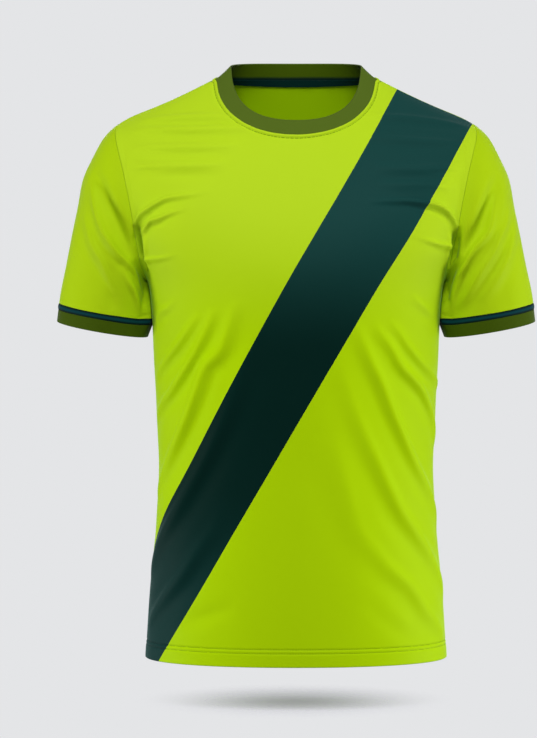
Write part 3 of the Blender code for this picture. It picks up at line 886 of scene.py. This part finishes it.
class Value:
    """A socket of a material, for use in sums."""

    def __init__(self, tree, socket=None):
        self.tree, self.socket = tree, socket

    def feed(self, socket, value):
        """Links a value to a socket, or sets a plain number or colour on it."""
        if isinstance(value, Value):
            self.tree.links.new(value.socket, socket)
        else:
            socket.default_value = value

    def node(self, kind, inputs=None, output=0, settings=None):
        """A new node's output. Its settings are set first, and then its sockets."""
        made = self.tree.nodes.new(kind)
        for name, setting in (settings or {}).items():
            setattr(made, name, setting)
        for name, value in (inputs or {}).items():
            self.feed(made.inputs[name], value)
        return Value(self.tree, made.outputs[output])

    def maths(self, operation, *others):
        inputs = dict(enumerate((self, *others)))
        return self.node("ShaderNodeMath", inputs, 0, {"operation": operation})

    def vector_maths(self, operation, output, *others):
        inputs = dict(enumerate((self, *others)))
        return self.node("ShaderNodeVectorMath", inputs, output, {"operation": operation})

    __add__ = __radd__ = partialmethod(maths, "ADD")
    __mul__ = __rmul__ = partialmethod(maths, "MULTIPLY")
    __sub__ = partialmethod(maths, "SUBTRACT")
    __truediv__ = partialmethod(maths, "DIVIDE")
    __gt__ = partialmethod(maths, "GREATER_THAN")
    __abs__ = partialmethod(maths, "ABSOLUTE")

    def __rsub__(self, other):
        return self * -1 + other

    def wave(self, length):
        """A sine of this length along the value, from -1 to 1."""
        return (self * (2 * math.pi / length)).maths("SINE")

    def ramp(self, start, end, low=0.0, high=1.0):
        """A smooth rise from low to high while this goes from start to end."""
        limits = {"Value": self, "From Min": start, "From Max": end, "To Min": low, "To Max": high}
        return self.node("ShaderNodeMapRange", limits, 0, {"interpolation_type": "SMOOTHSTEP"})

    def mixed(self, way, share, first, second):
        """Two colours mixed in a way of the Mix node, with the second one's share."""
        inputs = dict(zip(MIX_INPUTS, (share, first, second)))
        return self.node("ShaderNodeMix", inputs, MIX_OUTPUT, {"data_type": "RGBA", "blend_type": way})

    def blend(self, first, second):
        """A colour between two, the second one where this is 1."""
        return self.mixed("MIX", self, first, second)

    def tint(self, colour):
        """This colour times another."""
        return self.mixed("MULTIPLY", 1, self, colour)

# %% Materials and their colours
def new_material(name):
    """A material and its node tree, wrapped for sums."""
    material = bpy.data.materials.new(name)
    material.use_nodes = True
    return material, Value(material.node_tree)


def finish(tree, sockets):
    """Sets or links the named sockets of a material's shader."""
    shader = tree.tree.nodes["Principled BSDF"]
    for name, value in sockets.items():
        tree.feed(shader.inputs[name], value)


def srgb(red, green, blue):
    """A colour as a screen names it, from 0 to 255, in the linear values that shaders work in."""
    values = [part / 255 for part in (red, green, blue)]
    return [v / 12.92 if v <= 0.04045 else ((v + 0.055) / 1.055) ** 2.4 for v in values] + [1]


def grey(level):
    return [level] * 3 + [1]

# %% [markdown]
# ## Cloths
#
# The jersey's cloth is a fine interlock knit of polyester: from near by it shows columns of small loops,
# each like a V, and from further off only a soft even surface with a faint sheen at grazing angles. The
# sash is printed on it, and so it is only a colour, cut by two straight lines on the flat front. The
# ribs of the collar and the cuffs are the same yarn knitted in ridges, and the tapes are woven.

# %% Colours and gauges
LIGHTNESS = (0.93, 1.07), (0.86, 1.1), (0.8, 1.1)
# The inside lime is a darker copy of the knit: painted shade for the inside seen through the openings.
LIME, LIME_PAINTED_SHADE_INSIDE = srgb(167, 200, 14), srgb(152, 195, 2)
# The second lime is paler and bluer: a painted highlight, blended in over the chest.
LIME_PAINTED_HIGHLIGHT, LIME_LOW = srgb(176, 209, 30), srgb(168, 206, 0)
# The sash's ink with painted light, for the chest and the hem, and with painted shade, for the belly.
SASH_INK_PAINTED_LIGHT, SASH_INK_PAINTED_SHADE = srgb(20, 62, 59), srgb(1, 30, 25)
# The collar's inside and the cuffs take darker copies of the olive: painted shade.
OLIVE, OLIVE_PAINTED_SHADE_INSIDE, CUFF_OLIVE_PAINTED_SHADE = srgb(80, 101, 28), srgb(62, 83, 3), srgb(60, 80, 6)
# The near-black green is painted shade, beside the seams of the cuffs' stripes and the collar's inside.
# The thread is darker than the cloth: partly its own tone, partly painted shade of its groove.
TEAL, TEAL_DARK, SEAM_PAINTED_SHADE, THREAD_WITH_GROOVE_SHADE = srgb(8, 56, 62), srgb(6, 42, 38), srgb(4, 28, 24), srgb(108, 140, 6)
KNIT_SHADES, RIB_SHADES, PLY_SHADES = [(grey(low), grey(high)) for low, high in LIGHTNESS]
WALE, COURSE, V_DEPTH, PLY = 0.9 * MM, 0.75 * MM, 0.3375 * MM, 0.5 * MM
RIB_RIDGE, TAPE_RIDGE = 1.4 * MM, 0.8 * MM
LOOP_RELIEF, RIB_RELIEF, TAPE_RELIEF = 0.12 * MM, 0.25 * MM, 0.1 * MM
# How far from a seam the painted shade reaches.
SEAM_SHADE_REACH, NECK_SHADE_REACH = 3.4 * MM, 6 * MM
PATCHES, RIB_PATCHES, FUZZ = 9, 14, 900
SHEEN, KNIT_SHEEN = {"Sheen Weight": 0.08, "Sheen Roughness": 0.2}, (0.45, 1, 0.9, 1)


def flat_place(tree):
    """Where a point of the cloth lies on the flat cut: across and up, in metres."""
    place = tree.node("ShaderNodeUVMap", settings={"uv_map": "cut"})
    return [tree.node("ShaderNodeSeparateXYZ", {"Vector": place}, axis) for axis in "XY"]


def from_seam(tree, reach):
    """How far a point is from its seam: 0 close to the seam, and 1 at a distance of reach."""
    read = tree.node("ShaderNodeAttribute", None, "Fac", {"attribute_name": "from_seam"})
    return read.ramp(reach / 4, reach)


def noise(tree, scale, detail=2):
    """Soft patches from 0 to 1, about this many to a metre."""
    place = tree.node("ShaderNodeTexCoord", output="Object")
    return tree.node("ShaderNodeTexNoise", {"Vector": place, "Scale": scale, "Detail": detail}, "Fac")


def relief(tree, height, depth, strength):
    """The direction that the shader sees where a pattern of this height lies on the cloth."""
    return tree.node("ShaderNodeBump", {"Height": height, "Distance": depth, "Strength": strength})

# %% [markdown]
# The sash lies between two straight lines on the flat front. Each is given by its slope and by where it
# meets the hem. Near the side seam the worn cloth is pulled round, and the print's lines with it. Light is
# painted over the print: a painted highlight on the chest's lime, and on the sash's ink painted light on
# the chest, painted shade on the belly where the cloth faces down a little, and a painted sheen near the hem.

# %% Interlock knit and its print
SASH_UPPER, SASH_LOWER = (0.563, -262.7 * MM), (0.588, -164.9 * MM)
SIDE_TURN, SIDE_PULL = 90 * MM, 1.82
# Heights up the flat front of the painted light on the chest and of the painted sheen near the hem.
CHEST_PAINTED_LIGHT, HEM_PAINTED_SHEEN = (0.36, 0.54), (0.24, 0.0)


def knit_loops(across, up):
    """The height of the knit's loops, from 0 to 1: columns of small Vs."""
    column = abs((across / WALE).maths("FRACT") - 0.5) * 2
    loops = (up + column * V_DEPTH).wave(COURSE)
    return (1 - column * column) * (loops * 0.25 + 0.75)


def on_sash(across, up):
    """1 on the sash and 0 beside it."""
    turned = (-1 * across - SIDE_TURN).maths("MAXIMUM", 0)
    pulled = across + turned * turned * SIDE_PULL
    below_upper = pulled - up * SASH_UPPER[0] > SASH_UPPER[1]
    above_lower = up * SASH_LOWER[0] + SASH_LOWER[1] > pulled
    return below_upper * above_lower


def knit(name, colour, printed=False):
    material, tree = new_material(name)
    across, up = flat_place(tree)
    loops = knit_loops(across, up)
    uneven = noise(tree, PATCHES) - 0.5
    grain = (loops * 0.10 + uneven * 0.12 + 0.5).blend(*KNIT_SHADES)
    if printed:
        # Painted light by height: lighter on the chest, painted shade on the belly, a painted sheen near the
        # hem.
        chest, hem = up.ramp(*CHEST_PAINTED_LIGHT), up.ramp(*HEM_PAINTED_SHEEN, high=0.5)
        colour = (chest + uneven * 0.1).blend(LIME_LOW, LIME_PAINTED_HIGHLIGHT)
        ink_with_painted_light = (chest.maths("MAXIMUM", hem) + loops * 0.06 + uneven * 0.1 - 0.03).blend(SASH_INK_PAINTED_SHADE, SASH_INK_PAINTED_LIGHT)
        colour = on_sash(across, up).blend(colour, ink_with_painted_light)
    finish(tree, {
        "Base Color": grain.tint(colour),
        "Normal": relief(tree, loops + noise(tree, FUZZ, 1) * 0.3, LOOP_RELIEF, 0.5),
        "Roughness": 0.6 - loops * 0.08,
        "Specular IOR Level": 0.03,
        "Sheen Tint": KNIT_SHEEN,
        **SHEEN,
    })
    return material


printed_knit = knit("printed_lime_knit", LIME, printed=True)
lime_knit = knit("lime_knit", LIME)
shaded_inside_knit = knit("lime_knit_inside_painted_shade", LIME_PAINTED_SHADE_INSIDE)
print("knitted", printed_knit.name, lime_knit.name, shaded_inside_knit.name)

# %% [markdown]
# Rib and tape are strips with ridges across them, so one function makes both. Beside a seam the colour
# is a second, darker one: painted shade. It shows as the dark edges of the cuffs' stripes and as the dark
# foot of the collar's inside.

# %% Rib and tape
def ridged(name, colour, ridge, depth, painted_seam_shade=None, reach=SEAM_SHADE_REACH):
    """Rib or tape: ridges of one width that run across the strip, with a painted shade beside its seams."""
    material, tree = new_material(name)
    across, up = flat_place(tree)
    ridges = across.wave(ridge) * 0.5 + 0.5
    rows = up.wave(COURSE) * 0.5 + 0.5
    uneven = noise(tree, RIB_PATCHES) - 0.5
    grain = (ridges * 0.5 + uneven * 0.3 + 0.25).blend(*RIB_SHADES)
    finish(tree, {
        "Base Color": grain.tint(from_seam(tree, reach).blend(painted_seam_shade or colour, colour)),
        "Normal": relief(tree, ridges + rows * 0.25 + noise(tree, FUZZ, 1) * 0.3, depth, 0.6),
        "Roughness": 0.82 - ridges * 0.08,
        "Specular IOR Level": 0.05,
        **SHEEN,
    })
    return material


olive_rib = ridged("olive_rib", OLIVE, RIB_RIDGE, RIB_RELIEF)
# The cuffs' rib and the collar's inside rib are darker copies of the olive: painted shade.
shaded_cuff_rib = ridged("olive_cuff_rib_painted_shade", CUFF_OLIVE_PAINTED_SHADE, RIB_RIDGE, RIB_RELIEF)
shaded_inside_rib = ridged("olive_rib_inside_painted_shade", OLIVE_PAINTED_SHADE_INSIDE, RIB_RIDGE, RIB_RELIEF, SEAM_PAINTED_SHADE, NECK_SHADE_REACH)
teal_stripe = ridged("teal_stripe", TEAL, TAPE_RIDGE, TAPE_RELIEF, SEAM_PAINTED_SHADE)
teal_tape = ridged("teal_tape", TEAL_DARK, TAPE_RIDGE, TAPE_RELIEF)
print("made", olive_rib.name, shaded_cuff_rib.name, shaded_inside_rib.name, teal_stripe.name, teal_tape.name)

# %% Sewing thread
def twisted(name, colour, printed=False):
    """Sewing thread: two twisted plies, darkened by painted groove shade, and in the sash's shaded ink on the
    sash.
    """
    material, tree = new_material(name)
    place = tree.node("ShaderNodeTexCoord", output="Object")
    twist = place.vector_maths("DOT_PRODUCT", "Value", (1, 1, 2)).wave(PLY) * 0.5 + 0.5
    if printed:
        colour = on_sash(*flat_place(tree)).blend(colour, SASH_INK_PAINTED_SHADE)
    finish(tree, {
        "Base Color": twist.blend(*PLY_SHADES).tint(colour),
        "Roughness": 0.6,
        "Specular IOR Level": 0.1,
    })
    return material


thread["front_panel"].data.materials.append(twisted("printed_thread", THREAD_WITH_GROOVE_SHADE, printed=True))
thread["back_panel"].data.materials.append(twisted("thread", THREAD_WITH_GROOVE_SHADE))
print("thread on", ", ".join(thing.name for thing in thread.values()))

# %% Give each piece its outer and inner cloth
# The inner faces take darker copies of the knit and the collar's rib: painted shade for the inside.
FINISHES = {
    "front_panel": (printed_knit, shaded_inside_knit),
    "back_panel": (lime_knit, shaded_inside_knit),
    "sleeve": (lime_knit, shaded_inside_knit),
    "cuff_stripe": (teal_stripe, teal_stripe),
    "cuff": (shaded_cuff_rib, shaded_cuff_rib),
    "collar_rib": (olive_rib, shaded_inside_rib),
    "back_neck_tape": (teal_tape, teal_tape),
}
for name, thing in cloth.items():
    outer, inner = FINISHES[name.removeprefix("left_").removeprefix("right_")]
    thing.data.materials[0], thing.data.materials[1] = outer, inner
    print(name, "is", outer.name, "outside and", inner.name, "inside")

# %% [markdown]
# ## Stage
#
# The jersey hangs in an even pale studio a hand's width over the floor. A large soft light above and in
# front shapes the chest, and one from below opens its shadows. Low lamps straight from the sides model
# the folds, strips behind them draw the pale rims, and the world fills in evenly. The floor is clear
# except for the oval that takes the jersey's shadow.

# %% Background
BACKGROUND, WHITE = srgb(228, 229, 231), (1, 1, 1, 1)
AMBIENT = 0.12

world = bpy.data.worlds.new("studio")
bpy.context.scene.world = world
world.use_nodes = True
sky = Value(world.node_tree)
to_eye, mirrored, through = (
    sky.node("ShaderNodeLightPath", output=f"Is {ray} Ray") for ray in ("Camera", "Glossy", "Transmission")
)
seen = to_eye.maths("MAXIMUM", mirrored).maths("MAXIMUM", through)
glow = sky.node("ShaderNodeBackground", {"Color": WHITE, "Strength": AMBIENT})
plain = sky.node("ShaderNodeBackground", {"Color": BACKGROUND, "Strength": 1})
both = sky.node("ShaderNodeMixShader", {0: seen, 1: glow, 2: plain})
sky.feed(world.node_tree.nodes["World Output"].inputs["Surface"], both)
print("the world lights the jersey with", AMBIENT, "of white")

# %% Floor
FLOOR_COLOUR, FLOOR_DROP, FLOOR_SIZE = srgb(232, 227, 249), 54 * MM, 1.6
SHADOW_WIDE, SHADOW_DEEP, SHADOW_LEAST = 0.20, 0.17, 0.33

ground = bmesh.new()
level = Matrix.Translation((0, 0, hem_height - FLOOR_DROP))
bmesh.ops.create_grid(ground, x_segments=1, y_segments=1, size=FLOOR_SIZE / 2, matrix=level)
floor = as_object("floor", mesh_from("floor", ground))
floor_paint, tree = new_material("floor_paint")
finish(tree, {"Base Color": FLOOR_COLOUR, "Roughness": 0.9, "Specular IOR Level": 0})
place = tree.node("ShaderNodeTexCoord", output="Object")
oval = place.vector_maths("MULTIPLY", 0, (1 / SHADOW_WIDE, 1 / SHADOW_DEEP, 0))
fade = oval.vector_maths("LENGTH", "Value").ramp(0.0, 1.0, SHADOW_LEAST, 1.0)
painted = Value(tree.tree, tree.tree.nodes["Principled BSDF"].outputs[0])
clear = tree.node("ShaderNodeBsdfTransparent")
cover = tree.node("ShaderNodeMixShader", {0: fade, 1: painted, 2: clear})
tree.feed(tree.tree.nodes["Material Output"].inputs["Surface"], cover)
floor.data.materials.append(floor_paint)
print("floor", round(FLOOR_DROP / MM), "mm under the hem")

# %% Lights
def area_light(name, place, target, size, power):
    """A soft rectangular lamp that faces a point."""
    lamp = bpy.data.lights.new(name, "AREA")
    lamp.shape, lamp.size, lamp.size_y, lamp.energy = "RECTANGLE", *size, power
    holder = as_object(name, lamp)
    holder.location = place
    holder.rotation_euler = (Vector(target) - Vector(place)).to_track_quat("-Z", "Y").to_euler()


CHEST, WAIST = (0, 0, -0.3), (0, 0, -0.5)
area_light("key", (0, -2.0, 1.5), CHEST, (1.4, 1.0), 54)
area_light("chest", (0, -1.3, 0.05), (0, 0, -0.15), (0.5, 0.3), 2)
area_light("top", (0, 0.1, 1.6), CHEST, (1.4, 1.2), 2.5)
area_light("under", (0, -1.8, -1.6), CHEST, (2.2, 0.8), 7)
area_light("left_side", (1.6, 0.0, -0.85), WAIST, (0.4, 0.7), 15.5)
area_light("right_side", (-1.6, 0.0, -0.85), WAIST, (0.4, 0.7), 15)
area_light("left_rim", (1.5, 0.3, -0.2), CHEST, (0.4, 1.8), 4)
area_light("right_rim", (-1.5, 0.3, -0.2), CHEST, (0.4, 1.8), 1)
area_light("back", (0, 2.5, 0.6), CHEST, (2.0, 1.2), 30)
print("lit by", len(bpy.data.lights), "lamps")

# %% Camera
CAMERA_DISTANCE, SIGHT_HEIGHT = 3.0, -351.7 * MM
SENSOR, SEEN_HEIGHT, SHIFT = 36, 890.8 * MM, -0.0373

camera_data = bpy.data.cameras.new("camera")
camera_data.sensor_width = SENSOR
camera_data.lens = SENSOR * CAMERA_DISTANCE / SEEN_HEIGHT
camera_data.shift_x = SHIFT
camera = as_object("camera", camera_data)
camera.location = (0, -CAMERA_DISTANCE, SIGHT_HEIGHT)
camera.rotation_euler = (math.pi / 2, 0, 0)
bpy.context.scene.camera = camera
bpy.context.scene.view_settings.view_transform = "Standard"
print("lens of", round(camera_data.lens, 1), "mm,", CAMERA_DISTANCE, "m away")

# %% [markdown]
# ## Hang the pieces on the frame
#
# Every piece rides on the one body and stands in for its solid, which is hidden, and its stitches ride
# on the body too.

for piece in PIECES:
    thing, size = cloth[piece.node], flat_sizes[piece.node]
    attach(thing, "root")
    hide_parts(piece.node)
    sewn_on = [thread[piece.node]] if piece.node in thread else []
    for stitches in sewn_on:
        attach(stitches, "root")
    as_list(piece.hangs_from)
